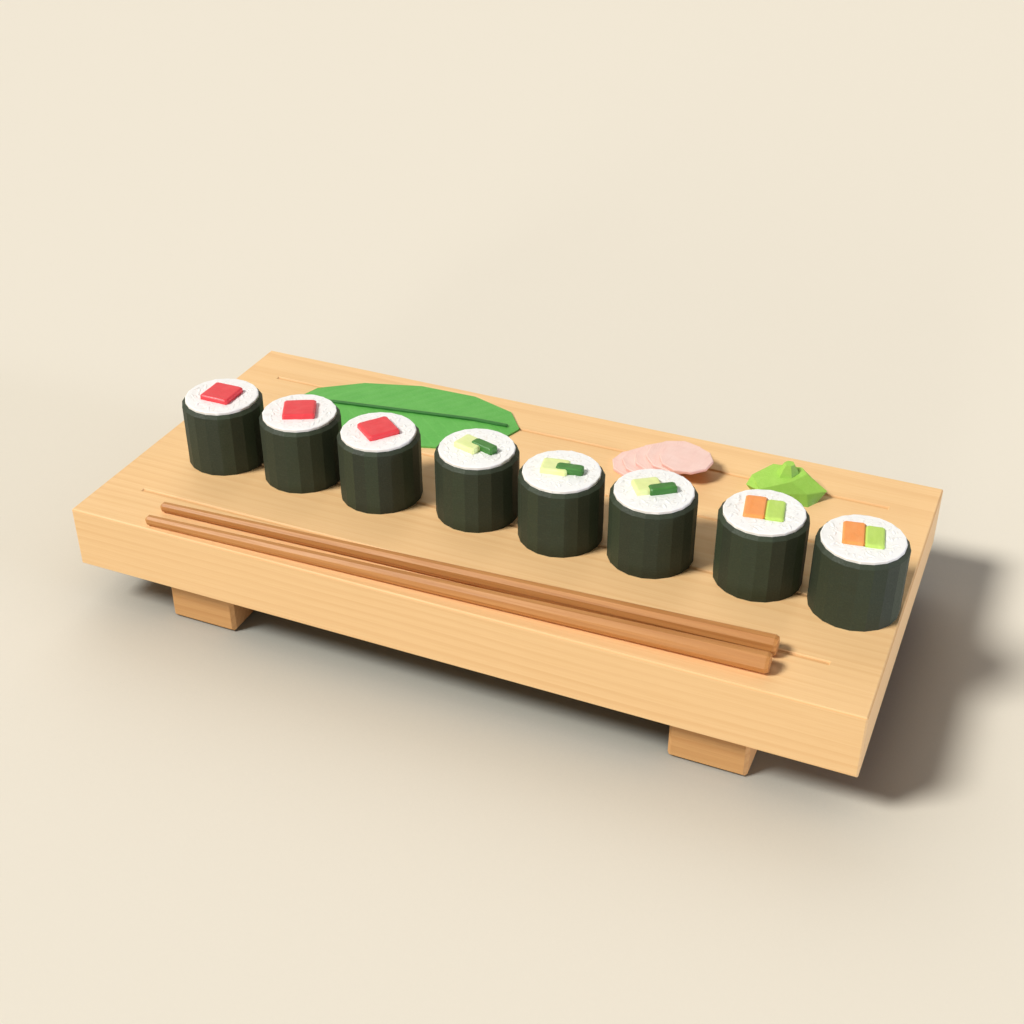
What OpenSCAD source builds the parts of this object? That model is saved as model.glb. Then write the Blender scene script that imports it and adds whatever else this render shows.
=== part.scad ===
// A sushi geta served for one: a plank on two feet, eight maki, a leaf,
// pickled ginger, wasabi and a pair of chopsticks. Millimetres.
// The board's length runs along X, its back is +Y, and its feet stand on Z = 0.

/* [Board] */
// Length of the board
board_l = 300; // [240:1:360]
// Depth of the board from front to back
board_w = 144; // [120:1:190]
// Thickness of the board
board_t = 25; // [18:0.5:40]
// Bevel along the edges of the board
board_bevel = 0.6; // [0.2:0.1:3]

/* [Engraved lines] */
// Number of lines along the top
line_count = 4; // [2:1:4]
// Distance from one line to the next
line_pitch = 33.3; // [15:0.1:36]
// Width of a line's floor
line_w = 1.2; // [0.6:0.1:3]
// Depth of a line
line_d = 0.5; // [0.3:0.1:2]
// How far a line's walls lean outwards, from its floor to the top of the board
line_flare = 0.5; // [0.1:0.1:1]
// Distance from the end of a line to the end of the board
line_end = 16.7; // [5:0.1:60]

/* [Feet] */
// Width of a foot along the board
foot_w = 28; // [18:1:50]
// Height of a foot
foot_h = 18; // [14:0.5:40]
// Distance between the middles of the two feet
foot_span = 200; // [120:1:250]
// Distance of a foot's ends from the front and back of the board
foot_inset = 5; // [0:0.5:20]
// Bevel along the edges of a foot
foot_bevel = 1.3; // [0.3:0.1:4]
// Diameter of a hidden dowel
dowel_d = 8; // [5:0.5:12]
// Depth of a dowel in its foot
dowel_foot = 11; // [6:0.5:12]
// Depth of a dowel in the board
dowel_board = 13; // [6:0.5:15]
// Distance between the two dowels of a foot
dowel_pitch = 76; // [30:1:90]

/* [Rolls] */
// Diameter of a roll across the corners of its nori
roll_d = 31.3; // [26:0.1:38]
// Height of the nori
nori_h = 26.2; // [16:0.1:36]
// Thickness of the wrapped nori
nori_t = 1.4; // [0.8:0.1:2.5]
// Thickness of the lap at the back of the nori
lap_t = 0.4; // [0.2:0.1:0.8]
// Height of the rice above the nori
rice_proud = 1.2; // [0.4:0.1:3]
// Gap between neighbouring rolls
roll_gap = 3.1; // [1.5:0.1:6]
// Extra gap between the groups of rolls
group_gap = 4.5; // [0:0.1:8]
// Middle of the row of rolls along the board
row_x = 8.4; // [-10:0.1:10]
// Distance of the row of rolls in front of the middle of the board
row_front = 14; // [5:0.1:20]

/* [Fillings] */
// Side of a tuna strip
tuna_w = 12.2; // [8:0.1:15]
// Length of an avocado strip's end beside the cucumber
avocado_l = 9.8; // [8:0.1:12]
// Width of an avocado strip's end beside the cucumber
avocado_w = 8.4; // [7:0.1:10]
// Length of a cucumber strip's end
cucumber_l = 9.8; // [8:0.1:12]
// Width of a cucumber strip's end
cucumber_w = 4; // [3:0.1:6]
// Length of a salmon strip's end
salmon_l = 13.2; // [9:0.1:15]
// Width of a salmon strip's end
salmon_w = 7.5; // [5:0.1:9]
// Length of the avocado strip's end beside the salmon
slice_l = 12.2; // [8:0.1:14]
// Width of the avocado strip's end beside the salmon
slice_w = 6.3; // [4:0.1:8]
// Height of a tuna strip, and of the avocado beside the cucumber, above the rice
filling_proud = 1.9; // [0.8:0.1:3]
// Height of a salmon strip, and of the avocado beside it, above the rice
salmon_proud = 1; // [0.7:0.1:3]
// Height of a cucumber strip above the rice
cucumber_proud = 2.5; // [1:0.1:4]
// Bevel round the end of a strip
filling_bevel = 0.6; // [0.2:0.1:0.7]

/* [Leaf] */
// Length of the leaf
leaf_l = 99.6; // [70:0.1:110]
// Width of the leaf
leaf_w = 50.8; // [35:0.1:54]
// Thickness of the leaf
leaf_t = 0.8; // [0.4:0.1:1.5]
// Height of the fold along the middle of the leaf
leaf_rise = 1.4; // [0.5:0.1:4]
// Width of the midrib
rib_w = 1.7; // [0.8:0.1:3]
// Height of the midrib above the leaf
rib_h = 0.9; // [0.4:0.1:2]
// Turn of the leaf from the length of the board
leaf_turn = 8.8; // [0:0.1:20]
// Distance of the leaf's middle to the left of the board's middle
leaf_left = 67; // [50:0.5:75]
// Distance of the leaf's middle from the back of the board
leaf_back = 30.6; // [25:0.1:34]

/* [Ginger] */
// Diameter of the largest slice of ginger
ginger_d = 24.4; // [16:0.1:28]
// Thickness of a slice
ginger_t = 1.4; // [0.8:0.1:2.5]
// Step along the board from one slice to the next
ginger_step = 4.5; // [2.5:0.1:7]
// Distance of the fan's middle to the right of the board's middle
ginger_right = 46; // [35:0.5:55]
// Distance of the fan's middle from the back of the board
ginger_back = 27.5; // [22:0.1:32]

/* [Wasabi] */
// Length of the lump of wasabi
wasabi_l = 30; // [20:0.5:36]
// Depth of the lump from front to back
wasabi_w = 20; // [16:0.5:30]
// Height of the lump at its middle
wasabi_h = 6.6; // [5:0.1:16]
// Width of the peak at its foot
peak_d = 10; // [5:0.1:12]
// Height of the peak above the lump's middle
peak_h = 4.4; // [2:0.1:8]
// Distance of the lump's middle to the right of the board's middle
wasabi_right = 94.5; // [88:0.5:105]
// Distance of the lump's middle from the back of the board
wasabi_back = 27.5; // [20:0.1:30]

/* [Chopsticks] */
// Length of a chopstick
stick_l = 234; // [180:1:250]
// Diameter of a chopstick at its thick end
butt_d = 7.4; // [5:0.1:8]
// Diameter of a chopstick at its tip
tip_d = 3.9; // [2.5:0.1:5]
// Distance between the middles of the chopsticks
stick_pitch = 9.6; // [8.5:0.1:14]
// Distance of the pair's middle from the front of the board
stick_front = 11.5; // [10:0.1:16]
// Distance of the pair's middle to the left of the board's middle
stick_left = 0.8; // [-10:0.1:10]
// Turn of the chopsticks from the length of the board
stick_turn = 1.7; // [0:0.1:3]

/* [Hidden] */
// Small sizes of the pieces
overrun = 1;
dowel_play = 0.1;
dowel_bevel = 0.8;
stick_round = 1.1;
peak_sink = 0.8;

// Flats round each piece
roll_flats = 20;
ginger_flats = 10;
leaf_corners = 12;
stick_flats = 10;
peak_flats = 6;

// The lap of a nori sheet covers this many flats, counted from the flat at its back
lap_flats = 2;
lap_first = 6;

// How the rolls stand in their row, and how their fillings turn
roll_count = 8;
group_size = 3;
roll_jog_shares = [-0.03, -0.01, -0.04, 0.06, -0.02, 0, 0.06, -0.03];
flat_turn = 7.4;
filling_turn = 26;
avocado_turn = -16.5;
salmon_turn = 10;
rim_share = 0.85;
avocado_shift_share = 0.26;
cucumber_shift_share = 0.31;
split_share = 0.06;
salmon_back_share = 0.1;
slice_back_share = 0.04;

// The slices of the ginger fan, from the lowest to the top one
ginger_count = 5;
ginger_size_shares = [0.92, 0.98, 1, 1, 0.87];
ginger_back_shares = [-0.11, -0.05, 0.03, 0.08, -0.02];
ginger_turns = [5, 14, 4, 21, 9];

// Corners of the lump of wasabi, as shares of its length and depth: at its foot, its waist and its top
lump_corner_shares = [
    [[0.43, -0.08], [0.17, 0.38], [-0.27, 0.3], [-0.45, -0.08], [-0.17, -0.38], [0.35, -0.3]],
    [[0.52, 0.1], [0.27, 0.52], [-0.35, 0.4], [-0.48, -0.2], [-0.15, -0.48], [0.3, -0.15]],
    [[0.22, 0.25], [0.13, 0.45], [-0.25, 0.48], [-0.45, 0.03], [-0.27, -0.43], [0.07, -0.07]]];
// Level of each of those rings at the lump's middle, and its rise along X and Y, as shares of the height
lump_z_shares = [0, 0.5, 1];
lump_rise_shares = [[0, 0], [0.2, -0.25], [0.55, 0.18]];
peak_top_share = 0.4;
peak_x_share = -0.01;
peak_y_share = 0.23;

// How much of the leaf's length the midrib and the highest stretch of its fold take up
rib_share = 0.9;
fold_share = 0.62;

// Worked out from the sizes above
top_z = foot_h + board_t;
line_l = board_l - 2 * (line_end + line_flare);
foot_l = board_w - 2 * foot_inset;
dowel_l = dowel_foot + dowel_board;
roll_r = roll_d / 2;
rice_r = roll_r - nori_t;
roll_pitch = roll_d + roll_gap;
rice_h = nori_h + rice_proud;
strip_h = rice_h + filling_proud;
salmon_h = rice_h + salmon_proud;
nori_rim = nori_t * rim_share;
stick_flat_share = cos(180 / stick_flats);
stick_slope = atan((butt_d - tip_d) / 2 * stick_flat_share / (stick_l - 2 * stick_round));
stick_rise = (butt_d + tip_d) / 4 * stick_flat_share * cos(stick_slope);

rolls = [1 : roll_count];
tuna_rolls = [1 : group_size];
cucumber_rolls = [group_size + 1 : 2 * group_size];
salmon_rolls = [2 * group_size + 1 : roll_count];
ginger_slices = [1 : ginger_count];

function numbered(word, range) = [for (k = range) str(word, "_", k)];

board_wood = "#f4c78b";
foot_wood = "#c8965d";
stick_wood = "#c48a56";
nori_green = "#2c3222";
rice_white = "#fdfbf4";
tuna_red = "#d8494f";
avocado_pale = "#eef5a6";
avocado_green = "#bfdc68";
cucumber_green = "#4e8a41";
salmon_orange = "#fa9c5a";
leaf_green = "#5aa84a";
rib_green = "#2c6e2c";
ginger_pink = "#fbcabb";
wasabi_green = "#9ed04a";

// Corners of a regular flat figure with a corner at the angle turn
function ring(flats, r, turn = 0) =
    [for (k = [0 : flats - 1]) r * [cos(turn + 360 * k / flats), sin(turn + 360 * k / flats)]];

// A section w wide and h high that stands on the line y = 0, bevelled below and above
function section(w, h, low, high) = concat(
    low > 0 ? [[-w / 2, low], [low - w / 2, 0], [w / 2 - low, 0], [w / 2, low]]
            : [[-w / 2, 0], [w / 2, 0]],
    high > 0 ? [[w / 2, h - high], [w / 2 - high, h], [high - w / 2, h], [-w / 2, h - high]]
             : [[w / 2, h], [-w / 2, h]]);

// A block with bevelled corners, and with bevels of its own below and above
module bevelled_block(l, w, h, corner, low, high) {
    intersection() {
        translate([0, -w / 2, 0])
            linear_extrude(h)
                polygon(section(l, w, corner, corner));
        rotate([90, 0, 0])
            linear_extrude(w, center = true)
                polygon(section(l, h, low, high));
        rotate([90, 0, 90])
            linear_extrude(l, center = true)
                polygon(section(w, h, low, high));
    }
}

// A solid skinned over rings with equal counts of points, closed at both ends
module skinned(rings) {
    n = len(rings[0]);
    last = len(rings) - 1;
    points = [for (each_ring = rings) for (p = each_ring) p];
    sides = [for (j = [0 : last - 1]) for (i = [0 : n - 1])
        let (a = j * n + i, b = j * n + (i + 1) % n)
        for (face = [[a, b + n, b], [a, a + n, b + n]]) face];
    ends = [[for (i = [0 : n - 1]) i], [for (i = [n - 1 : -1 : 0]) last * n + i]];
    polyhedron(points, concat(sides, ends));
}

// A flat figure lifted to a height, as a ring for a skinned solid
function lifted(figure, z) = [for (p = figure) [p[0], p[1], z]];

// Section of an engraved line with a floor l long, flared up to the top of the board and straight above it
function groove(l) = [
    [-l / 2, -line_d], [l / 2, -line_d], [l / 2 + line_flare, 0], [l / 2 + line_flare, overrun],
    [-l / 2 - line_flare, overrun], [-l / 2 - line_flare, 0]];

// Engraved line along the top of the board, flared on all four sides
module engraved_line(y) {
    translate([0, y, top_z])
        intersection() {
            rotate([90, 0, 90])
                linear_extrude(board_l, center = true)
                    polygon(groove(line_w));
            rotate([90, 0, 0])
                linear_extrude(board_w, center = true)
                    polygon(groove(line_l));
        }
}

// Places of the four dowels, at the joint between the feet and the board
module at_dowels() {
    for (x = [-foot_span / 2, foot_span / 2], y = [-dowel_pitch / 2, dowel_pitch / 2])
        translate([x, y, foot_h])
            children();
}

// Hole that takes a dowel in the foot below the joint and in the board above it
module dowel_hole() {
    translate([0, 0, -dowel_foot - dowel_play])
        cylinder(d = dowel_d + 2 * dowel_play, h = dowel_l + 2 * dowel_play, $fn = 48);
}

module board() {
    color(board_wood)
        difference() {
            translate([0, 0, foot_h])
                bevelled_block(board_l, board_w, board_t, board_bevel, board_bevel, board_bevel);
            for (k = [0 : line_count - 1])
                engraved_line((k - (line_count - 1) / 2) * line_pitch);
            at_dowels()
                dowel_hole();
        }
}

// A foot, with sharp edges only where it meets the board
module foot(side) {
    color(foot_wood)
        difference() {
            translate([side * foot_span / 2, 0, 0])
                bevelled_block(foot_w, foot_l, foot_h, foot_bevel, foot_bevel, 0);
            at_dowels()
                dowel_hole();
        }
}

module foot_dowels() {
    color(foot_wood)
        at_dowels()
            translate([0, 0, -dowel_foot])
                rotate_extrude($fn = 48)
                    polygon([
                        [0, 0],
                        [dowel_d / 2 - dowel_bevel, 0],
                        [dowel_d / 2, dowel_bevel],
                        [dowel_d / 2, dowel_l - dowel_bevel],
                        [dowel_d / 2 - dowel_bevel, dowel_l],
                        [0, dowel_l]]);
}

// Place of roll k in its row, on the board
module at_roll(k) {
    x = row_x + (k - (roll_count + 1) / 2) * roll_pitch + (floor((k - 1) / group_size) - 1) * group_gap;
    y = roll_d * roll_jog_shares[k - 1] - row_front;
    translate([x, y, top_z])
        children();
}

// Nori wrapped round a roll: twenty flats, a bevelled upper rim and a lap at the back
module nori(k) {
    outer = ring(roll_flats, roll_r, flat_turn);
    lapped = ring(roll_flats, roll_r + lap_t, flat_turn);
    lap_range = [lap_first : lap_first + lap_flats];
    color(nori_green)
        at_roll(k)
            difference() {
                union() {
                    skinned([
                        lifted(outer, 0),
                        lifted(outer, nori_h - nori_rim),
                        lifted(ring(roll_flats, roll_r - nori_rim, flat_turn), nori_h)]);
                    linear_extrude(nori_h - nori_rim)
                        polygon(concat(
                            [for (i = lap_range) lapped[i]],
                            [[0, 0]]));
                }
                translate([0, 0, -overrun])
                    linear_extrude(nori_h + 2 * overrun)
                        polygon(ring(roll_flats, rice_r, flat_turn));
            }
}

// Rice of roll k, with a channel for each strip of filling
module rice(k) {
    color(rice_white)
        difference() {
            at_roll(k)
                linear_extrude(rice_h)
                    polygon(ring(roll_flats, rice_r, flat_turn));
            fillings(k);
        }
}

// A strip of filling that stands in the roll from the board up
module strip(l, w, h) {
    bevelled_block(l, w, h, filling_bevel, 0, filling_bevel);
}

module tuna(k) {
    color(tuna_red)
        at_roll(k)
            rotate(filling_turn * (k - 1))
                strip(tuna_w, tuna_w, strip_h);
}

module cucumber(k) {
    color(cucumber_green)
        at_roll(k)
            translate([cucumber_l * cucumber_shift_share, 0, 0])
                rotate(avocado_turn + filling_turn * (k - 1 - group_size))
                    strip(cucumber_l, cucumber_w, rice_h + cucumber_proud);
}

// Avocado beside the cucumber, which is pressed into it
module soft_avocado(k) {
    color(avocado_pale)
        difference() {
            at_roll(k)
                translate([-avocado_l * avocado_shift_share, 0, 0])
                    rotate(avocado_turn + filling_turn * (k - 1 - group_size))
                        strip(avocado_l, avocado_w, strip_h);
            cucumber(k);
        }
}

// Salmon and the avocado beside it meet on one plane
module salmon(k) {
    color(salmon_orange)
        at_roll(k)
            rotate(salmon_turn)
                translate([salmon_w * (split_share - 1 / 2), salmon_l * salmon_back_share, 0])
                    strip(salmon_w, salmon_l, salmon_h);
}

module firm_avocado(k) {
    color(avocado_green)
        at_roll(k)
            rotate(salmon_turn)
                translate([salmon_w * split_share + slice_w / 2, slice_l * slice_back_share, 0])
                    strip(slice_w, slice_l, salmon_h);
}

// Every strip of filling in roll k
module fillings(k) {
    if (k <= group_size) {
        tuna(k);
    } else if (k <= 2 * group_size) {
        soft_avocado(k);
        cucumber(k);
    } else {
        salmon(k);
        firm_avocado(k);
    }
}

module at_leaf() {
    translate([-leaf_left, board_w / 2 - leaf_back, top_z])
        rotate(leaf_turn)
            children();
}

// The leaf's outline with a shallow fold along its middle, solid below
module folded_leaf() {
    hull() {
        linear_extrude(leaf_t)
            scale([leaf_l / leaf_w, 1])
                polygon(ring(leaf_corners, leaf_w / 2));
        translate([-leaf_l * fold_share / 2, -rib_w / 2, 0])
            cube([leaf_l * fold_share, rib_w, leaf_t + leaf_rise]);
    }
}

// The blade is a thin sheet that stands on its rim
module leaf_blade() {
    color(leaf_green)
        at_leaf()
            difference() {
                folded_leaf();
                translate([0, 0, -leaf_t])
                    folded_leaf();
            }
}

// The midrib lies on the fold and follows it down towards both tips
module leaf_midrib() {
    color(rib_green)
        at_leaf()
            difference() {
                intersection() {
                    translate([-leaf_l * rib_share / 2, -rib_w / 2, 0])
                        cube([leaf_l * rib_share, rib_w, leaf_t + leaf_rise + rib_h]);
                    translate([0, 0, rib_h])
                        folded_leaf();
                }
                folded_leaf();
            }
}

// Slice k of the ginger fan lies on the slice before it
module ginger_slice(k) {
    along = (k - (ginger_count + 1) / 2) * ginger_step;
    color(ginger_pink)
        translate([
            ginger_right + along,
            board_w / 2 - ginger_back + ginger_d * ginger_back_shares[k - 1],
            top_z + (k - 1) * ginger_t])
            linear_extrude(ginger_t)
                polygon(ring(ginger_flats, ginger_d / 2 * ginger_size_shares[k - 1], ginger_turns[k - 1]));
}

// One ring of the lump: the corners of a slanting plane cut
function lump_ring(j) = [for (p = lump_corner_shares[j]) [
    wasabi_l * p[0],
    wasabi_w * p[1],
    wasabi_h * (lump_z_shares[j] + lump_rise_shares[j] * p)]];

// A lump of wasabi pinched up into a small peak
module wasabi() {
    color(wasabi_green)
        translate([wasabi_right, board_w / 2 - wasabi_back, top_z]) {
            skinned([for (j = [0 : len(lump_z_shares) - 1]) lump_ring(j)]);
            translate([wasabi_l * peak_x_share, wasabi_w * peak_y_share, wasabi_h - peak_sink])
                skinned([
                    lifted(ring(peak_flats, peak_d / 2), 0),
                    lifted(ring(peak_flats, peak_d / 2 * peak_top_share), peak_h + peak_sink)]);
        }
}

// A ring of a chopstick, d across its corners, at the distance x from its middle
function stick_ring(d, x) = [for (p = ring(stick_flats, d / 2, -90 + 180 / stick_flats)) [x, p[0], p[1]]];

// A chopstick that lies on one of its flats, with its tip to the left
module chopstick(side) {
    color(stick_wood)
        translate([-stick_left, stick_front - board_w / 2 + side * stick_pitch / 2, top_z])
            rotate(stick_turn)
                translate([0, 0, stick_rise])
                    rotate([0, -stick_slope, 0])
                        skinned([
                            stick_ring(tip_d - 2 * stick_round, -stick_l / 2),
                            stick_ring(tip_d, stick_round - stick_l / 2),
                            stick_ring(butt_d, stick_l / 2 - stick_round),
                            stick_ring(butt_d - stick_round, stick_l / 2)]);
}

board();
foot(-1);  // foot_left
foot(1);  // foot_right
foot_dowels();
for (k = rolls) {
    nori(k);
    rice(k);
}
for (k = tuna_rolls)
    tuna(k);
for (k = cucumber_rolls) {
    soft_avocado(k);
    cucumber(k);
}
for (k = salmon_rolls) {
    salmon(k);
    firm_avocado(k);
}
leaf_blade();
leaf_midrib();
for (k = ginger_slices)
    ginger_slice(k);
wasabi();
chopstick(-1);  // chopstick_front
chopstick(1);  // chopstick_back
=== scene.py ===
import math

import bmesh
import bpy
import numpy as np
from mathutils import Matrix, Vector


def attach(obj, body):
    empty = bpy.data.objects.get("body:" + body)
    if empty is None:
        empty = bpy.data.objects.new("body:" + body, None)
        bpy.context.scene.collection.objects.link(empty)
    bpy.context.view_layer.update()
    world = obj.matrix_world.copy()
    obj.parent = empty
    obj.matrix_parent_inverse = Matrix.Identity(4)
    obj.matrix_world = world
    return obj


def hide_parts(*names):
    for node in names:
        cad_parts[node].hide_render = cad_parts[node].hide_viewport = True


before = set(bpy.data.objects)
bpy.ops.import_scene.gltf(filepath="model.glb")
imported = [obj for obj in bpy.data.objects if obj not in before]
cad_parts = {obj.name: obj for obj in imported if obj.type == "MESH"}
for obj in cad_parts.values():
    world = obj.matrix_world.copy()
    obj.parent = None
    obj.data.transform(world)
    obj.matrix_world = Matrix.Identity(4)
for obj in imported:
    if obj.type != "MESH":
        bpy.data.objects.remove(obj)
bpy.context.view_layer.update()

# A sushi geta served for one: board, maki, leaf, ginger, wasabi and chopsticks.
# Shapes are worked out in millimetres, in the frame's own axes, and become metres in their meshes.
# A ripple is given as its height and its length. Shares say where points lie along the side of a figure.
# A pattern step moves the pattern from one piece to the next, so that no two look the same.
MM = 0.001
TINY = 1e-9
POLE_GAP = 0.0005
RIPPLE_WAVES = 32
RIPPLE_LENGTHS = (0.7, 1.5)

# Board: its engraved lines and its bevels, and how far each takes on a darker orange of painted shade
LINE_DEPTH = 0.5
LINE_REACH = (140.0, 62.0)
LINE_SHADE_SHARE = 0.45
BOARD_BEVEL = 0.6
BEVEL_SHADE_SHARE = 0.6

# Maki: eight rolls of twenty flats, three of them with each of the first two fillings
ROLL_COUNT = 8
GROUP_SIZE = 3
ROLL_FLATS = 20
ROLL_TURN = 7.4
ROLL_SHARES = (0.0, 0.04, 0.27, 0.5, 0.73, 0.96)
ROLL_PATTERN_STEP = 40.0

# Nori: its bevelled rim, a lap over two flats at the back, and ripples that begin above the board
NORI_THICK = 1.4
NORI_RIM = 1.19
NORI_ROWS = 34
NORI_RIPPLE = (0.025, 5.0)
NORI_CALM = 2.0
LAP_THICK = 0.4
LAP_FLATS = (6, 8)
LAP_RAMP = 1 / 3

# Rice: a bed just below the top, bevelled off towards the wall, and the tone of that bed in its painted shade
RICE_SINK = 0.12
RICE_EDGE = 0.28
RICE_SHOULDER = 0.9
RICE_GAP = 0.02
RICE_RIPPLE = (0.05, 2.5)
RICE_BED_SHADE_TONE = 0.93
RICE_WALL_ROWS = 2
RICE_LID_ROWS = 8

# Grains of rice: half sizes, how far backs stand out of the bed, and how grains differ, angles in radians
GRAIN_COUNT = 160
GRAIN_HALF = (1.85, 0.75, 0.5)
GRAIN_GRID = (8, 10)
GRAIN_BLUNTNESS = 0.7
GRAIN_RISE = (0.06, 0.18)
GRAIN_SCALE = (0.88, 1.1)
GRAIN_STRAY = 0.1
GRAIN_HEADING = 0.9
GRAIN_TILT = 0.05
# Height over which the painted shade in the crease at a grain's foot fades out
GRAIN_CREASE_SHADE_FADE = 0.1
FILLING_MARGIN = 1.0
NORI_MARGIN = 2.0
GOLDEN_ANGLE = math.pi * (3 - math.sqrt(5))

# Strips of filling: length and width, turn, and the points of their rounded upper edge
TUNA = (12.2, 12.2)
SOFT_AVOCADO = (9.8, 8.4)
CUCUMBER = (9.8, 4.0)
SALMON = (7.5, 13.2)
FIRM_AVOCADO = (6.3, 12.2)
FILLING_TURN = 26.0
AVOCADO_TURN = -16.5
SALMON_TURN = 10.0
AVOCADO_SHIFT = -0.26
STRIP_BEVEL = 0.6
STRIP_EDGE_INSETS = (0.22, 0.54, 0.66)
STRIP_EDGE_DROPS = (0.3, 0.04, 0.0)
STRIP_SHARES = (0.0, 0.06, 0.35, 0.65, 0.94)
STRIP_WALL_ROWS = 24
STRIP_TOP_ROWS = 9
STRIP_RIPPLE = (0.05, 3.5)
STRIP_SETTLE = 0.04
STRIP_FADE = 4.0
STRIP_PATTERN_STEP = 17.0

# Leaf: its outline, its fold and its side veins
LEAF_SIZE = (99.6, 50.8)
LEAF_THICK = 0.8
LEAF_RISE = 1.4
LEAF_TURN = 8.8
LEAF_CORNERS = 12
LEAF_STEPS = (8, 24, 32, 32, 24, 8)
LEAF_COLUMNS = 61
LEAF_RIM_SHARE = 0.12
FOLD_SHARE = 0.62
VEIN_SLANT = 0.9
VEIN_PITCH = 6.6
VEIN_WIDTH = 0.045
VEIN_SWELL = 0.1
SWELL_HALF_WIDTH = 12.0

# Midrib: width and height, the share of the leaf that it runs along, and its blunt ends
RIB_SIZE = (1.7, 0.9)
RIB_SHARE = 0.9
RIB_ROWS = 60
RIB_EVEN_SHARE = 0.98
RIB_END_SHARES = (1.0, 1.0, 0.995)
RIB_END_SIZES = (0.0, 0.8, 1.0)
RIB_ARC_POINTS = 13
RIB_SQUARENESS = 0.5

# Ginger: slices of ten sides, the points of their rounded rim, and a pinker tone at that rim
GINGER_COUNT = 5
GINGER_FLATS = 10
GINGER_TURNS = (5.0, 14.0, 4.0, 21.0, 9.0)
GINGER_SHARES = (0.0, 0.03, 0.35, 0.65, 0.97)
GINGER_ROWS = (12, 24)
GINGER_EDGE = 0.3
GINGER_RIM_INSETS = (0.0, 0.0, 0.16)
GINGER_RIM_FOOT = 0.22
GINGER_RIM_DROPS = (0.34, 0.1)
GINGER_WAVE = (0.06, 14.0)
GINGER_CRINKLE = (0.03, 3.0)
GINGER_SETTLE = 0.08
GINGER_RIM_SHARE = 0.9
GINGER_RIM_POWER = 3
GINGER_TONES = (0.55, 0.22)
GINGER_TONE_DROP = 0.2
GINGER_PATTERN_STEP = 31.0
GINGER_PATTERN_TURN = 20.0

# Wasabi: corners of its foot, waist and top as shares of its size, their levels and rises, and its peak
WASABI_MIDDLE = (94.5, 44.5)
WASABI_SIZE = (30.0, 20.0, 6.6)
WASABI_CORNERS = (
    ((0.43, -0.08), (0.17, 0.38), (-0.27, 0.3), (-0.45, -0.08), (-0.17, -0.38), (0.35, -0.3)),
    ((0.52, 0.1), (0.27, 0.52), (-0.35, 0.4), (-0.48, -0.2), (-0.15, -0.48), (0.3, -0.15)),
    ((0.22, 0.25), (0.13, 0.45), (-0.25, 0.48), (-0.45, 0.03), (-0.27, -0.43), (0.07, -0.07)))
WASABI_LEVELS = (0.0, 0.5, 1.0)
WASABI_RISES = ((0.0, 0.0), (0.2, -0.25), (0.55, 0.18))
# Painted shade of each facet of the lump's lower and upper walls, from 0 darkest to 1 unshaded
WASABI_FACET_SHADES = (
    (0.1, 0.2, 0.3, 0.4, 0.3, 0.0),
    (0.4, 0.4, 0.7, 0.85, 0.45, 0.65))
WASABI_ROWS = (3, 8, 14, 16)
PEAK_SIZE = (10.0, 4.4)
PEAK_FLATS = 6
PEAK_SINK = 0.8
PEAK_PLACE = (-0.01, 0.23)
PEAK_TOP_SHARE = 0.4
# Painted shade of each facet of the peak, from 0 darkest to 1 unshaded
PEAK_FACET_SHADES = (0.4, 0.6, 1.0, 1.0, 0.9, 0.4)
PEAK_ROWS = (2, 10, 4)
FACET_SHARES = (0.0, 0.03, 0.2, 0.4, 0.6, 0.8, 0.97)
WASABI_RIPPLES = ((0.015, 1.6), (0.015, 3.5))
WASABI_SETTLE = 0.06
WASABI_CALM = 0.3
WASABI_HEART_SHARE = 0.4
WASABI_HEART_REACH = 0.5

# Numbers that settle every random draw
NORI_SEED = 100
RICE_SEED = 200
STRIP_SEED = 300
STRIP_SEED_STEP = 10
GINGER_SEED = 400
WASABI_SEED = 500

# Patterns: repeats per millimetre along, across and up, spans of noise that count, and shares of a colour
UNIT = (0.0, 1.0)
NOISE_SPAN = (0.3, 0.7)
RING_BEND = (0.005, 0.022, 0.022)
RING_STRENGTH = (0.008, 0.05, 0.05)
RING_CONTRAST = (0.25, 1.0)
RING_YEAR = ((0.0, 0.55), (0.07, 0.05), (0.45, 0.12), (0.93, 1.0), (1.0, 0.6))
RING_RELIEF = 0.5
FIBRE_PITCH = (0.03, 1.5, 1.5)
FIBRE_SPAN = (0.45, 0.75)
FIBRE_ROUGH_SPAN = (0.2, 0.8)
FIBRE_SHARE = 0.5
PORE_PITCH = (0.16, 4.2, 4.2)
PORE_SPAN = (0.62, 0.72)
PORE_SHARE = 0.2
STRAND_WANDER = (0.25, 0.25, 0.25)
STRAND_LINE_SPAN = (0.56, 0.64)

# Camera, floor and sky
CAMERA_LENS = 50
CAMERA_SENSOR = 36
CAMERA_AZIMUTH = 23.2
CAMERA_ELEVATION = 33.25
CAMERA_DISTANCE = 545
CAMERA_AIM = (0, 0, 37)
FLOOR_HALF = 6000
FLOOR_COLOUR = "f1e8d7"
FLOOR_BOUNCE = "a39b8c"
# Painted shade on the floor near the set: its colour, how strong it is and how far it reaches
FLOOR_PAINTED_SHADE_COLOUR = "1f4e5c"
FLOOR_SHADE = 0.82
FLOOR_SHADE_REACH = 260
FLOOR_ROUGHNESS = 0.8
BACKDROP_COLOUR = "f2e8d4"
SKY_COLOUR = "ffffff"
SKY_LEVEL = 0.03
LAMP_DISTANCE = 2000


# Reading the frame


def node_points(node):
    """Corner points of a CAD node, in millimetres."""
    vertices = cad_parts[node].data.vertices
    flat = np.empty(len(vertices) * 3, np.float32)
    vertices.foreach_get("co", flat)
    return flat.reshape(-1, 3).astype(float) / MM


def node_middle(node):
    """Middle of a CAD node seen from above."""
    points = node_points(node)[:, :2]
    return (points.min(axis=0) + points.max(axis=0)) / 2


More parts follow.
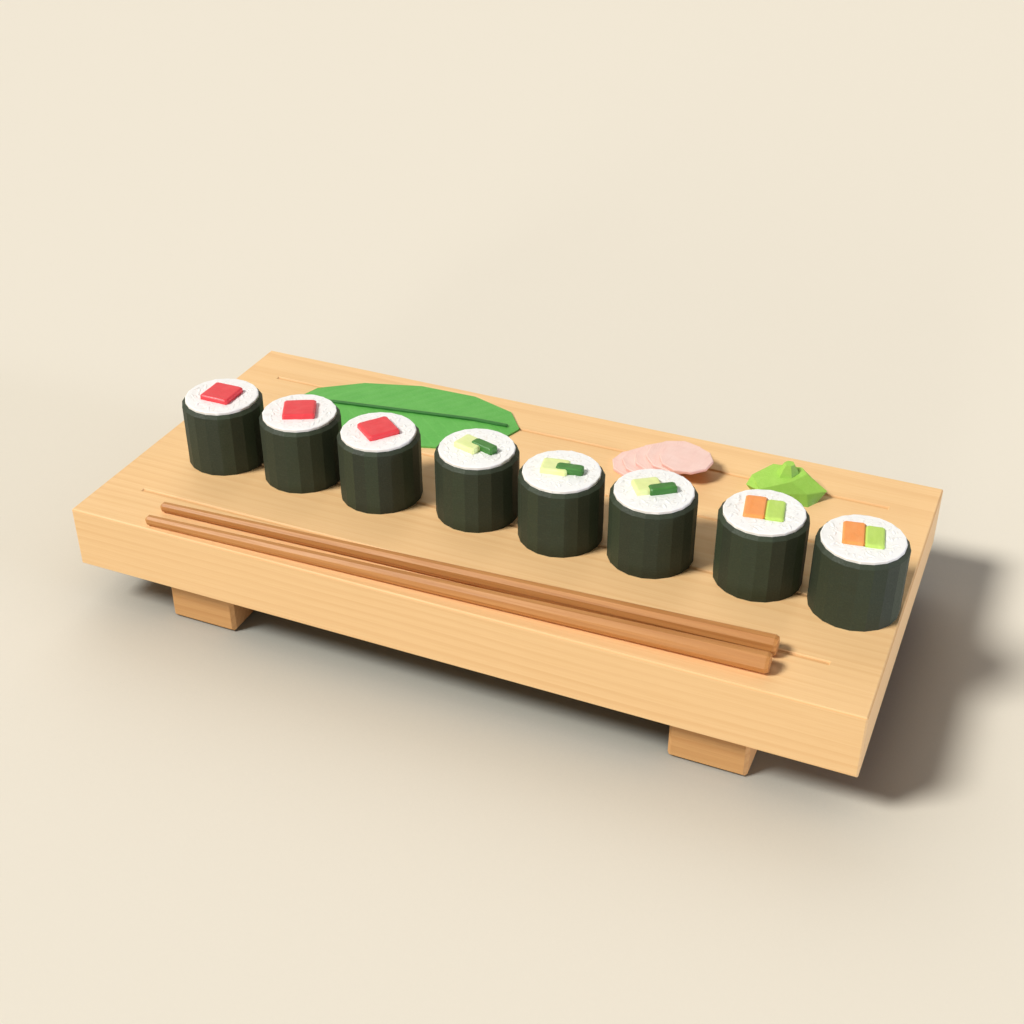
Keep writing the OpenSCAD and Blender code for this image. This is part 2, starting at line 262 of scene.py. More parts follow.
def node_heights(node):
    """Lowest and highest level of a CAD node."""
    levels = node_points(node)[:, 2]
    return levels.min(), levels.max()


def node_reach(node):
    """Greatest distance of a CAD node's corners from its middle, seen from above."""
    return np.hypot(*(node_points(node)[:, :2] - node_middle(node)).T).max()


# Figures and grids


def corner_ring(flats, turn):
    """Corners of a regular figure of radius 1: cosine and sine of equal steps, from the angle turn."""
    angle = np.radians(turn + 360 * np.arange(flats) / flats)
    return np.stack([np.cos(angle), np.sin(angle)], axis=1)


def along_sides(corners, shares):
    """Points at shares of every side of a closed figure: corner times (1 - share) plus next times share."""
    after = np.roll(corners, -1, axis=0)
    shares = np.asarray(shares)[None, :, None]
    return (corners[:, None] * (1 - shares) + after[:, None] * shares).reshape(-1, corners.shape[1])


def side_tones(tones, points):
    """A tone for each point along a figure's sides: each side has its own, a corner the mean of its two."""
    tones = np.asarray(tones, float)
    along = np.repeat(tones[..., None], points, axis=-1)
    along[..., 0] = (tones + np.roll(tones, 1, axis=-1)) / 2
    return along.reshape(*tones.shape[:-1], -1)


def cut_rectangle(length, width, cut):
    """Corners of a rectangle whose four corners are cut off by the length cut, anticlockwise."""
    a, b = length / 2, width / 2
    return np.array([
        [a, cut - b], [a, b - cut], [a - cut, b], [cut - a, b],
        [-a, b - cut], [-a, cut - b], [cut - a, -b], [a - cut, -b]])


def turned(points, angle, a=0, b=1):
    """Points turned by degrees from axis a towards axis b: (a cos - b sin, a sin + b cos)."""
    c, s = np.cos(np.radians(angle)), np.sin(np.radians(angle))
    result = np.array(points, float)
    result[..., a] = c * points[..., a] - s * points[..., b]
    result[..., b] = s * points[..., a] + c * points[..., b]
    return result


def raised(figure, level):
    """A flat figure, or rings of one, at a level that may differ from point to point."""
    return np.concatenate([figure, np.broadcast_to(level, figure.shape[:-1])[..., None]], axis=-1)


def grid_quads(rows, columns, wrap_rows=False):
    """Four-cornered faces between neighbours of a grid of points whose columns go right round."""
    i = np.arange(rows if wrap_rows else rows - 1)[:, None]
    j = np.arange(columns)[None, :]
    i_next, j_next = (i + 1) % rows, (j + 1) % columns
    corners = [i * columns + j, i * columns + j_next, i_next * columns + j_next, i_next * columns + j]
    return np.stack(corners, axis=-1).reshape(-1, 4)


def ripple(points, height, length, seed):
    """A sum of plane cosine waves of seeded directions, lengths and phases, mostly within the height."""
    draw = np.random.default_rng(seed)
    directions = draw.normal(size=(RIPPLE_WAVES, points.shape[-1]))
    directions /= np.linalg.norm(directions, axis=1)[:, None]
    lengths = length * draw.uniform(*RIPPLE_LENGTHS, RIPPLE_WAVES)
    phases = draw.uniform(0, 2 * np.pi, RIPPLE_WAVES)
    waves = np.cos(points @ (2 * np.pi * directions / lengths[:, None]).T + phases)
    return height * waves.sum(axis=-1) / np.sqrt(RIPPLE_WAVES)


def solid_of(rings, places, tones=0.5, wrap_rows=False):
    """One closed grid: rings of points, row after row, with the place of each point on its pattern."""
    rows, columns = rings.shape[:2]
    return {
        "points": rings.reshape(-1, 3),
        "quads": grid_quads(rows, columns, wrap_rows),
        "places": places.reshape(-1, 3),
        "tones": np.broadcast_to(tones, (rows, columns)).reshape(-1)}


def outward(quads, points):
    """The faces turned round if the volume that they enclose comes out below zero."""
    a, b, c, d = (points[quads[:, n]] for n in range(4))
    volume = np.einsum("ij,ij->i", a, np.cross(b, c) + np.cross(c, d)).sum()
    return quads if volume > 0 else quads[:, ::-1]


def close_poles(mesh):
    """Merges the points of a ring that has shrunk to one point, and drops what lost its area."""
    work = bmesh.new()
    work.from_mesh(mesh)
    bmesh.ops.remove_doubles(work, verts=work.verts, dist=POLE_GAP * MM)
    work.to_mesh(mesh)
    work.free()


def piece(name, parts, material, body, node, sharp):
    """A mesh made of closed grids, with place and tone attributes, that rides on a body for a CAD node.

    Edges that bend by more than the angle sharp stay crisp.
    """
    starts = np.cumsum([0] + [len(part["points"]) for part in parts])
    points = np.concatenate([part["points"] for part in parts])
    faces = [outward(part["quads"], part["points"]) + start for part, start in zip(parts, starts)]
    quads = np.concatenate(faces)
    places = np.concatenate([part["places"] for part in parts])
    tones = np.concatenate([part["tones"] for part in parts])
    mesh = bpy.data.meshes.new(name)
    mesh.vertices.add(len(points))
    mesh.vertices.foreach_set("co", (points * MM).astype(np.float32).ravel())
    mesh.loops.add(quads.size)
    mesh.loops.foreach_set("vertex_index", quads.astype(np.int32).ravel())
    mesh.polygons.add(len(quads))
    mesh.polygons.foreach_set("loop_start", np.arange(0, quads.size, 4, dtype=np.int32))
    place = mesh.attributes.new("place", "FLOAT_VECTOR", "POINT")
    place.data.foreach_set("vector", places.astype(np.float32).ravel())
    tone = mesh.attributes.new("tone", "FLOAT", "POINT")
    tone.data.foreach_set("value", tones.astype(np.float32))
    mesh.update(calc_edges=True)
    close_poles(mesh)
    mesh.shade_smooth()
    mesh.set_sharp_from_angle(angle=math.radians(sharp))
    mesh.materials.append(material)
    made = bpy.data.objects.new(name, mesh)
    bpy.context.scene.collection.objects.link(made)
    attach(made, body)
    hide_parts(node)


# Shader nodes

FLOAT = "NodeSocketFloat"
VECTOR = "NodeSocketVector"


def paint(code):
    """A colour of six hexadecimal digits as linear red, green, blue and alpha, by the sRGB curve."""
    shares = [int(code[n:n + 2], 16) / 255 for n in (0, 2, 4)]
    linear = [s / 12.92 if s <= 0.04045 else ((s + 0.055) / 1.055) ** 2.4 for s in shares]
    return (*linear, 1.0)


def add(tree, kind, inputs=None, **settings):
    """Adds a node with its own settings; each input is a value or a socket to wire from."""
    node = tree.nodes.new(kind)
    for key, value in settings.items():
        setattr(node, key, value)
    for key, value in (inputs or {}).items():
        if isinstance(value, bpy.types.NodeSocket):
            tree.links.new(value, node.inputs[key])
        else:
            node.inputs[key].default_value = value
    return node


def reckon(tree, operation, a, b=0.0):
    """A Math node's result."""
    return add(tree, "ShaderNodeMath", {0: a, 1: b}, operation=operation).outputs[0]


def mixed(tree, share, a, b):
    """Colour a going over to colour b as share rises from 0 to 1."""
    return add(tree, "ShaderNodeMix", {0: share, 6: a, 7: b}, data_type="RGBA").outputs[2]


def tinted(tree, colour, mask, share, code):
    """A colour going over to another one by a share of a mask."""
    return mixed(tree, reckon(tree, "MULTIPLY", mask, share), colour, paint(code))


def ranged(tree, value, span, result=UNIT):
    """A value within a span of two ends, carried over to the span of the result."""
    inputs = {0: value, 1: span[0], 2: span[1], 3: result[0], 4: result[1]}
    return add(tree, "ShaderNodeMapRange", inputs).outputs[0]


def stretched(tree, vector, across):
    """A vector multiplied part by part."""
    return add(tree, "ShaderNodeVectorMath", {0: vector, 1: across}, operation="MULTIPLY").outputs[0]


def noise(tree, vector, scale=1.0, detail=2.0, roughness=0.5):
    """A noise value of about 0.2 to 0.8."""
    inputs = {"Vector": vector, "Scale": scale, "Detail": detail, "Roughness": roughness}
    return add(tree, "ShaderNodeTexNoise", inputs).outputs[0]


def swayed(tree, value, size):
    """A noise value as a sway to both sides of zero, of a given size."""
    return reckon(tree, "MULTIPLY", reckon(tree, "SUBTRACT", value, 0.5), size)


def new_group(name, inputs, outputs):
    """An empty group of shader nodes, with the sockets of its input node and of its output node."""
    tree = bpy.data.node_groups.new(name, "ShaderNodeTree")
    for label, kind in inputs.items():
        tree.interface.new_socket(label, in_out="INPUT", socket_type=kind)
    for label in outputs:
        tree.interface.new_socket(label, in_out="OUTPUT", socket_type=FLOAT)
    return tree, tree.nodes.new("NodeGroupInput").outputs, tree.nodes.new("NodeGroupOutput").inputs


def make_timber_group():
    """Timber: rings round a heart line along X, long fibres and short pores, from a place in millimetres."""
    inputs = {"Place": VECTOR, "Ring Width": FLOAT, "Heart Y": FLOAT, "Heart Z": FLOAT, "Warp": FLOAT}
    tree, given, result = new_group("timber", inputs, ("Late Wood", "Fibre", "Pore"))
    place = given["Place"]
    xyz = add(tree, "ShaderNodeSeparateXYZ", {0: place}).outputs
    y = reckon(tree, "SUBTRACT", xyz[1], given["Heart Y"])
    z = reckon(tree, "SUBTRACT", xyz[2], given["Heart Z"])
    squares = [reckon(tree, "MULTIPLY", side, side) for side in (y, z)]
    reach = reckon(tree, "SQRT", reckon(tree, "ADD", *squares))
    sway = swayed(tree, noise(tree, stretched(tree, place, RING_BEND)), given["Warp"])
    years = reckon(tree, "DIVIDE", reckon(tree, "ADD", reach, sway), given["Ring Width"])
    rise = add(tree, "ShaderNodeFloatCurve", {1: reckon(tree, "FRACT", years)})
    points = rise.mapping.curves[0].points
    points[0].location = RING_YEAR[0]
    points[1].location = RING_YEAR[-1]
    for at, level in RING_YEAR[1:-1]:
        points.new(at, level)
    rise.mapping.update()
    strength = noise(tree, stretched(tree, place, RING_STRENGTH), detail=1.0)
    late = reckon(tree, "MULTIPLY", rise.outputs[0], ranged(tree, strength, NOISE_SPAN, RING_CONTRAST))
    fibre = noise(tree, stretched(tree, place, FIBRE_PITCH), detail=3.0, roughness=0.6)
    pore = noise(tree, stretched(tree, place, PORE_PITCH), detail=1.0)
    tree.links.new(late, result["Late Wood"])
    tree.links.new(fibre, result["Fibre"])
    tree.links.new(ranged(tree, pore, PORE_SPAN), result["Pore"])
    return tree


def make_mottle_group():
    """Mottling: slow patches and fine grains of the given sizes, from a place in millimetres."""
    inputs = {"Place": VECTOR, "Patch": FLOAT, "Grain": FLOAT}
    tree, given, result = new_group("mottle", inputs, ("Patches", "Grains"))
    for size, name, detail in (("Patch", "Patches", 2.0), ("Grain", "Grains", 3.0)):
        scale = reckon(tree, "DIVIDE", 1.0, given[size])
        value = noise(tree, given["Place"], scale, detail)
        tree.links.new(ranged(tree, value, NOISE_SPAN), result[name])
    return tree


def make_strand_group():
    """Strands: streaks of a given length along X and a given width, drawn a little out of line."""
    inputs = {"Place": VECTOR, "Length": FLOAT, "Width": FLOAT, "Sway": FLOAT}
    tree, given, result = new_group("strands", inputs, ("Strands", "Lines"))
    wander = noise(tree, stretched(tree, given["Place"], STRAND_WANDER), detail=1.0)
    shift = add(tree, "ShaderNodeCombineXYZ", {1: swayed(tree, wander, given["Sway"])}).outputs[0]
    moved = add(tree, "ShaderNodeVectorMath", {0: given["Place"], 1: shift}, operation="ADD").outputs[0]
    along = reckon(tree, "DIVIDE", 1.0, given["Length"])
    across = reckon(tree, "DIVIDE", 1.0, given["Width"])
    scale = add(tree, "ShaderNodeCombineXYZ", {0: along, 1: across, 2: across}).outputs[0]
    value = noise(tree, stretched(tree, moved, scale))
    tree.links.new(ranged(tree, value, NOISE_SPAN), result["Strands"])
    tree.links.new(ranged(tree, value, STRAND_LINE_SPAN), result["Lines"])
    return tree


TIMBER = make_timber_group()
MOTTLE = make_mottle_group()
STRANDS = make_strand_group()


def mottled(tree, place, patch, grain):
    """Patches and grains of the given sizes in millimetres."""
    inputs = {"Place": place, "Patch": patch, "Grain": grain}
    return add(tree, "ShaderNodeGroup", inputs, node_tree=MOTTLE).outputs


def stranded(tree, place, length, width, sway):
    """Strands and the lines among them, of the given sizes in millimetres."""
    inputs = {"Place": place, "Length": length, "Width": width, "Sway": sway}
    return add(tree, "ShaderNodeGroup", inputs, node_tree=STRANDS).outputs


def own_place(tree):
    """The place attribute of a piece made here."""
    return add(tree, "ShaderNodeAttribute", attribute_name="place").outputs["Vector"]


def own_tone(tree):
    """The tone attribute of a piece made here."""
    return add(tree, "ShaderNodeAttribute", attribute_name="tone").outputs["Fac"]


def frame_place(tree, turn):
    """Object coordinates in millimetres, turned about Z so that X runs along the piece."""
    place = add(tree, "ShaderNodeTexCoord").outputs["Object"]
    rotation = (0.0, 0.0, math.radians(-turn))
    inputs = {"Vector": place, "Rotation": rotation, "Scale": (1 / MM, 1 / MM, 1 / MM)}
    return add(tree, "ShaderNodeMapping", inputs, vector_type="POINT").outputs[0]


# Finishes


def new_finish(name, specular):
    """A new material, its node tree, and the inputs of its Principled shader."""
    material = bpy.data.materials.new(name)
    material.use_nodes = True
    tree = material.node_tree
    shader = tree.nodes["Principled BSDF"].inputs
    shader["Specular IOR Level"].default_value = specular
    return material, tree, shader


def surfaced(tree, shader, colour, roughness, relief, depth, strength):
    """Wires a colour, a roughness and a relief of 0 to 1, its depth in millimetres, to a shader."""
    tree.links.new(colour, shader["Base Color"])
    tree.links.new(roughness, shader["Roughness"])
    bump = add(tree, "ShaderNodeBump", {"Strength": strength, "Distance": depth * MM, "Height": relief})
    tree.links.new(bump.outputs[0], shader["Normal"])


def groove_and_bevel_shade(tree, place, colour, cut):
    """Painted shade: a colour going over to the darker colour cut down the board's lines, and more on its
    upper bevels.
    """
    top = node_heights("board")[1]
    xyz = add(tree, "ShaderNodeSeparateXYZ", {0: place}).outputs
    lined = [reckon(tree, "LESS_THAN", reckon(tree, "ABSOLUTE", xyz[n]), LINE_REACH[n]) for n in (0, 1)]
    share = ranged(tree, reckon(tree, "MULTIPLY", *lined), UNIT, (BEVEL_SHADE_SHARE, LINE_SHADE_SHARE))
    above = reckon(tree, "GREATER_THAN", xyz[2], top - BOARD_BEVEL)
    sunk = reckon(tree, "MULTIPLY", ranged(tree, xyz[2], (top, top - LINE_DEPTH)), above)
    return tinted(tree, colour, sunk, share, cut)


def make_wood(name, colours, ring_width, heart, warp, rough, depth, turn=0.0, specular=0.4, cut=None):
    """Planed wood: early wood going over to late wood by the rings, darker along fibres and pores."""
    material, tree, shader = new_finish(name, specular)
    early, late, fibre = colours
    place = frame_place(tree, turn)
    inputs = {
        "Place": place, "Ring Width": ring_width, "Heart Y": heart[0], "Heart Z": heart[1], "Warp": warp}
    timber = add(tree, "ShaderNodeGroup", inputs, node_tree=TIMBER).outputs
    colour = mixed(tree, timber["Late Wood"], paint(early), paint(late))
    fibrous = ranged(tree, timber["Fibre"], FIBRE_SPAN, (0.0, FIBRE_SHARE))
    colour = mixed(tree, fibrous, colour, paint(fibre))
    colour = tinted(tree, colour, timber["Pore"], PORE_SHARE, fibre)
    # Painted shade: the colour cut darkens the engraved lines and the top's bevels.
    if cut:
        colour = groove_and_bevel_shade(tree, place, colour, cut)
    roughness = ranged(tree, timber["Fibre"], FIBRE_ROUGH_SPAN, rough)
    relief = reckon(tree, "MULTIPLY", timber["Late Wood"], RING_RELIEF)
    relief = reckon(tree, "SUBTRACT", relief, timber["Pore"])
    relief = reckon(tree, "ADD", relief, timber["Fibre"])
    surfaced(tree, shader, colour, roughness, relief, depth, strength=0.35)
    return material


def make_nori():
    """Toasted seaweed: black green, each flat with a tone of its own, and a crinkled fibrous sheen."""
    material, tree, shader = new_finish("nori", specular=0.45)
    place = own_place(tree)
    mottle = mottled(tree, place, patch=3.5, grain=0.5)
    strands = stranded(tree, place, length=5.0, width=0.35, sway=2.0)
    colour = mixed(tree, own_tone(tree), paint("1b2417"), paint("283420"))
    colour = tinted(tree, colour, mottle["Patches"], share=0.4, code="222c1d")
    colour = tinted(tree, colour, strands["Lines"], share=0.25, code="37432f")
    roughness = ranged(tree, mottle["Grains"], UNIT, (0.56, 0.74))
    relief = reckon(tree, "ADD", mottle["Grains"], strands["Strands"])
    surfaced(tree, shader, colour, roughness, relief, depth=0.1, strength=0.15)
    return material


def make_rice():
    """Cooked rice: white, going over to a warmer, darker painted shade where the tone falls, at the grains'
    feet and on the wall.
    """
    material, tree, shader = new_finish("rice", specular=0.4)
    mottle = mottled(tree, own_place(tree), patch=2.2, grain=0.4)
    # Painted shade: warmer and darker where the tone is low.
    colour = mixed(tree, own_tone(tree), paint("f0eae1"), paint("fdfcfa"))
    colour = tinted(tree, colour, mottle["Patches"], share=0.2, code="faf9f6")
    roughness = ranged(tree, mottle["Grains"], UNIT, (0.38, 0.52))
    surfaced(tree, shader, colour, roughness, mottle["Grains"], depth=0.05, strength=0.15)
    return material


def make_flesh(name, colours, strand, share, rough, depth):
    """Fish or fruit: two colours in slow patches, with strands of a third colour along the strip.

    A strand has a length, a width and a sway, in millimetres.
    """
    material, tree, shader = new_finish(name, specular=0.35)
    place = own_place(tree)
    mottle = mottled(tree, place, patch=4.0, grain=0.45)
    strands = stranded(tree, place, *strand)
    colour = mixed(tree, mottle["Patches"], paint(colours[0]), paint(colours[1]))
    colour = tinted(tree, colour, strands["Strands"], share, colours[2])
    roughness = ranged(tree, mottle["Grains"], UNIT, rough)
    relief = reckon(tree, "ADD", mottle["Grains"], strands["Strands"])
    surfaced(tree, shader, colour, roughness, relief, depth, strength=0.25)
    return material


def make_leaf():
    """A fresh leaf: green with paler side veins that the tone attribute carries, and a waxy face."""
    material, tree, shader = new_finish("leaf", specular=0.4)
    mottle = mottled(tree, own_place(tree), patch=9.0, grain=0.8)
    colour = mixed(tree, mottle["Patches"], paint("5cb04a"), paint("68b954"))
    colour = tinted(tree, colour, mottle["Grains"], share=0.2, code="4f9f40")
    colour = tinted(tree, colour, own_tone(tree), share=0.3, code="7fc866")
    roughness = ranged(tree, mottle["Grains"], UNIT, (0.42, 0.55))
    surfaced(tree, shader, colour, roughness, mottle["Grains"], depth=0.05, strength=0.2)
    return material


def make_ginger():
    """Pickled ginger: pale pink, pinker at the rim that the tone attribute carries, with fine fibres."""
    material, tree, shader = new_finish("ginger", specular=0.45)
    place = own_place(tree)
    mottle = mottled(tree, place, patch=5.0, grain=0.5)
    strands = stranded(tree, place, length=9.0, width=0.4, sway=1.5)
    colour = mixed(tree, mottle["Patches"], paint("fad2c6"), paint("fdd9ce"))
    colour = tinted(tree, colour, strands["Lines"], share=0.3, code="f0bfb2")
    colour = mixed(tree, own_tone(tree), colour, paint("e8a79c"))
    roughness = ranged(tree, mottle["Grains"], UNIT, (0.36, 0.5))
    relief = reckon(tree, "ADD", mottle["Grains"], strands["Strands"])
    surfaced(tree, shader, colour, roughness, relief, depth=0.06, strength=0.2)
    return material


def make_wasabi():
    """Grated wasabi: a yellow green grainy paste with darker flecks, and painted shade that darkens each
    facet by its own given amount.
    """
    material, tree, shader = new_finish("wasabi", specular=0.35)
    mottle = mottled(tree, own_place(tree), patch=2.5, grain=0.55)
    colour = mixed(tree, mottle["Patches"], paint("a5d858"), paint("b1df63"))
    colour = tinted(tree, colour, mottle["Grains"], share=0.25, code="8fbf47")
    # Painted shade: dark green where the tone is low, underneath and on the lower facets.
    colour = mixed(tree, own_tone(tree), paint("7aa236"), colour)
    roughness = ranged(tree, mottle["Grains"], UNIT, (0.5, 0.7))
    surfaced(tree, shader, colour, roughness, mottle["Grains"], depth=0.14, strength=0.35)
    return material


# The board's cut colour is painted shade in its engraved lines and on its top bevels.
BOARD_WOOD = make_wood(
    "board_wood", ("facf96", "f3c48a", "f0bf82"), ring_width=2.6, heart=(40.0, -70.0), warp=6.0,
    rough=(0.5, 0.64), depth=0.04, cut="d99a58")
FOOT_WOOD = make_wood(
    "foot_wood", ("d2a067", "c69058", "c08a52"), ring_width=2.6, heart=(30.0, -60.0), warp=4.0,
    rough=(0.52, 0.68), depth=0.04)
CHOPSTICK_WOOD = make_wood(
    "chopstick_wood", ("c68a4e", "b67a41", "ae7038"), ring_width=1.8, heart=(-60.0, 20.0), warp=3.0,
    rough=(0.36, 0.5), depth=0.03, turn=1.7, specular=0.35)
FINISHES = {
    "nori": make_nori(),
    "rice": make_rice(),
    "tuna": make_flesh(
        "tuna", ("e83f47", "ee4c52", "db333d"), strand=(14.0, 0.8, 2.5), share=0.35,
        rough=(0.3, 0.45), depth=0.05),
    "avocado_soft": make_flesh(
        "avocado_soft", ("e9f2a4", "f0f6b4", "d6e88c"), strand=(6.0, 1.2, 3.0), share=0.3,
        rough=(0.4, 0.55), depth=0.04),
    "avocado_firm": make_flesh(
        "avocado_firm", ("bcdc64", "c6e274", "a6cd54"), strand=(6.0, 1.2, 3.0), share=0.3,
        rough=(0.4, 0.55), depth=0.04),
    "cucumber": make_flesh(
        "cucumber", ("3f7a34", "4d8a40", "2f6228"), strand=(10.0, 0.6, 0.6), share=0.5,
        rough=(0.3, 0.42), depth=0.05),
    "salmon": make_flesh(
        "salmon", ("f59547", "f89f54", "fab078"), strand=(12.0, 1.6, 4.0), share=0.3,
        rough=(0.3, 0.42), depth=0.05),
    "leaf": make_leaf(),
    "leaf_rib": make_flesh(
        "leaf_rib", ("2a6a2a", "327531", "3d8238"), strand=(12.0, 0.4, 0.4), share=0.4,
        rough=(0.4, 0.52), depth=0.03),
    "ginger": make_ginger(),
    "wasabi": make_wasabi(),
}


# Maki


def roll_middle(k):
    """Middle of roll k, which its rice gives."""
    return node_middle(f"rice_{k}")


def roll_ring():
    """Points along the twenty flats of a roll of radius 1."""
    return along_sides(corner_ring(ROLL_FLATS, ROLL_TURN), ROLL_SHARES)


def nori_sheet(k):
    """Nori of roll k: a closed section of outer wall, bevelled rim and inner wall, carried round its flats.

    The outer wall swells by the lap over two flats at the back, and by low ripples all over.
    """
    base, top = node_heights(f"nori_{k}")
    inner = node_reach(f"rice_{k}")
    outer = inner + NORI_THICK
    wall = np.linspace(base, top - NORI_RIM, NORI_ROWS)
    radius = np.concatenate([np.full(NORI_ROWS, outer), [outer - NORI_RIM, inner, inner]])
    level = np.concatenate([wall, [top, top, base]])
    ring = roll_ring()
    rings = raised(radius[:, None, None] * ring, level[:, None])
    local = rings - [0, 0, base]
    flat_at = np.arange(len(ring)) / len(ROLL_SHARES)
    lap = LAP_THICK * np.clip((flat_at - LAP_FLATS[0]) / LAP_RAMP, 0, 1) * (flat_at < LAP_FLATS[1])
    waves = ripple(local, *NORI_RIPPLE, NORI_SEED + k) * np.clip(local[..., 2] / NORI_CALM, 0, 1)
    on_wall = (np.arange(len(radius)) < NORI_ROWS)[:, None]
    rings[..., :2] += (on_wall * (lap + waves))[..., None] * ring
    rings[..., :2] += roll_middle(k)
    flat_tones = np.random.default_rng(NORI_SEED - k).uniform(0, 1, ROLL_FLATS)
    tones = side_tones(flat_tones, len(ROLL_SHARES))
    part = solid_of(rings, local + ROLL_PATTERN_STEP * k, tones, wrap_rows=True)
    piece(f"nori_sheet_{k}", [part], FINISHES["nori"], f"roll_{k}", f"nori_{k}", sharp=11)


def filling_rows(k):
    """Name, finish, size and turn of each strip of filling in roll k."""
    if k <= GROUP_SIZE:
        return [("tuna", "tuna", TUNA, FILLING_TURN * (k - 1))]
    if k <= 2 * GROUP_SIZE:
        turn = AVOCADO_TURN + FILLING_TURN * (k - 1 - GROUP_SIZE)
        return [("avocado", "avocado_soft", SOFT_AVOCADO, turn), ("cucumber", "cucumber", CUCUMBER, turn)]
    return [
        ("salmon", "salmon", SALMON, SALMON_TURN),
        ("avocado", "avocado_firm", FIRM_AVOCADO, SALMON_TURN)]


def strip_middle(k, name, finish, size):
    """Middle of a strip: its CAD node's or, for soft avocado, which is cut into, aside from the roll's."""
    if finish == "avocado_soft":
        return roll_middle(k) + np.array([AVOCADO_SHIFT * size[0], 0.0])
    return node_middle(f"{name}_{k}")


def channel_reach(k, angles):
    """Distance from the middle of roll k to the rim of its fillings, at each angle.

    A ray from the middle leaves a turned rectangle where it meets the nearer of its two far sides.
    """
    reach = np.zeros_like(angles)
    rays = np.stack([np.cos(angles), np.sin(angles)], axis=-1)
    for name, finish, size, turn in filling_rows(k):
        start = turned(roll_middle(k) - strip_middle(k, name, finish, size), -turn)
        ray = turned(rays, -turn)
        ray = np.where(np.abs(ray) < TINY, TINY, ray)
        half = np.array(size) / 2
        far = ((np.sign(ray) * half - start) / ray).min(axis=-1)
        near = ((-np.sign(ray) * half - start) / ray).max(axis=-1)
        reach = np.where(far > np.maximum(near, 0), np.maximum(reach, far), reach)
    return reach


def grain_cloud(k, bed, reach):
    """Grains of rice sunk into the top of roll k: egg shapes on a sunflower spiral, each turned and tilted.

    A grain is its half length times minus cosine, and its round girth times sine to a power below 1.
    Its tone, for painted shade, rises from 0 in the crease where it leaves the bed to 1 on its back.
    """
    draw = np.random.default_rng(RICE_SEED + k)
    order = np.arange(GRAIN_COUNT) + 0.5
    radius = reach * np.sqrt(order / GRAIN_COUNT)
    angle = order * GOLDEN_ANGLE + draw.normal(0, GRAIN_STRAY, GRAIN_COUNT)
    clear = (radius > channel_reach(k, angle) + FILLING_MARGIN) & (radius < reach - NORI_MARGIN)
    radius, angle = radius[clear], angle[clear]
    count = len(radius)
    sunk = bed - GRAIN_HALF[2] + draw.uniform(*GRAIN_RISE, count)
    middle = np.stack([radius * np.cos(angle), radius * np.sin(angle), sunk], axis=1)
    heading = angle + np.pi / 2 + draw.normal(0, GRAIN_HEADING, count)
    tilt = draw.normal(0, GRAIN_TILT, count)
    size = np.array(GRAIN_HALF) * draw.uniform(*GRAIN_SCALE, (count, 1))
    rows, columns = GRAIN_GRID
    u = np.linspace(0, np.pi, rows)[:, None]
    v = np.linspace(0, 2 * np.pi, columns, endpoint=False)
    girth = np.sin(u) ** GRAIN_BLUNTNESS
    egg = np.stack([-np.cos(u) + 0 * v, girth * np.cos(v), girth * np.sin(v)], axis=-1).reshape(-1, 3)
    grains = turned(egg * size[:, None], np.degrees(tilt)[:, None], 0, 2)
    grains = turned(grains, np.degrees(heading)[:, None])
    local = (grains + middle[:, None]).reshape(-1, 3)
    starts = np.arange(count)[:, None, None] * len(egg)
    return {
        "points": local + [*roll_middle(k), 0.0],
        "quads": (grid_quads(rows, columns) + starts).reshape(-1, 4),
        "places": local + ROLL_PATTERN_STEP * k,
        "tones": np.clip((local[:, 2] - bed) / GRAIN_CREASE_SHADE_FADE, 0, 1)}


def rice_bed(k):
    """Rice of roll k: a closed section of wall, bevelled edge, top and channel, carried round its flats.

    The channel follows the rim of the fillings, and the top is rippled and covered with grains. The wall
    is painted in the darkest shade, that of the creases at the grains' feet.
    """
    base, top = node_heights(f"rice_{k}")
    reach = node_reach(f"rice_{k}")
    bed = top - RICE_SINK
    ring = roll_ring()
    angles = np.arctan2(ring[:, 1], ring[:, 0])
    rays = ring / np.linalg.norm(ring, axis=1)[:, None]
    channel = rays * (channel_reach(k, angles) + RICE_GAP)[:, None]
    radius = reach - RICE_GAP - np.array([0.0, 0.0, RICE_EDGE, RICE_SHOULDER])
    level = np.array([base, bed - RICE_EDGE, bed, bed])
    outside = raised(radius[:, None, None] * ring, level[:, None])
    inwards = np.linspace(0, 1, RICE_LID_ROWS)[1:, None, None]
    lid = raised(outside[-1, :, :2] * (1 - inwards) + channel * inwards, bed)
    rings = np.concatenate([outside, lid, raised(channel[None], base)])
    waves = ripple(rings, *RICE_RIPPLE, RICE_SEED - k)
    rings[..., 2] += np.where(rings[..., 2] >= bed, waves, 0)
    # Painted shade: the wall rows get the darkest tone, and the bed a little less than the grains' backs.
    tones = np.where(np.arange(len(rings)) < RICE_WALL_ROWS, 0.0, RICE_BED_SHADE_TONE)[:, None]
    places = rings - [0, 0, base] + ROLL_PATTERN_STEP * k
    core = solid_of(rings + [*roll_middle(k), 0.0], places, tones, wrap_rows=True)
    parts = [core, grain_cloud(k, bed, reach)]
    piece(f"rice_bed_{k}", parts, FINISHES["rice"], f"roll_{k}", f"rice_{k}", sharp=40)


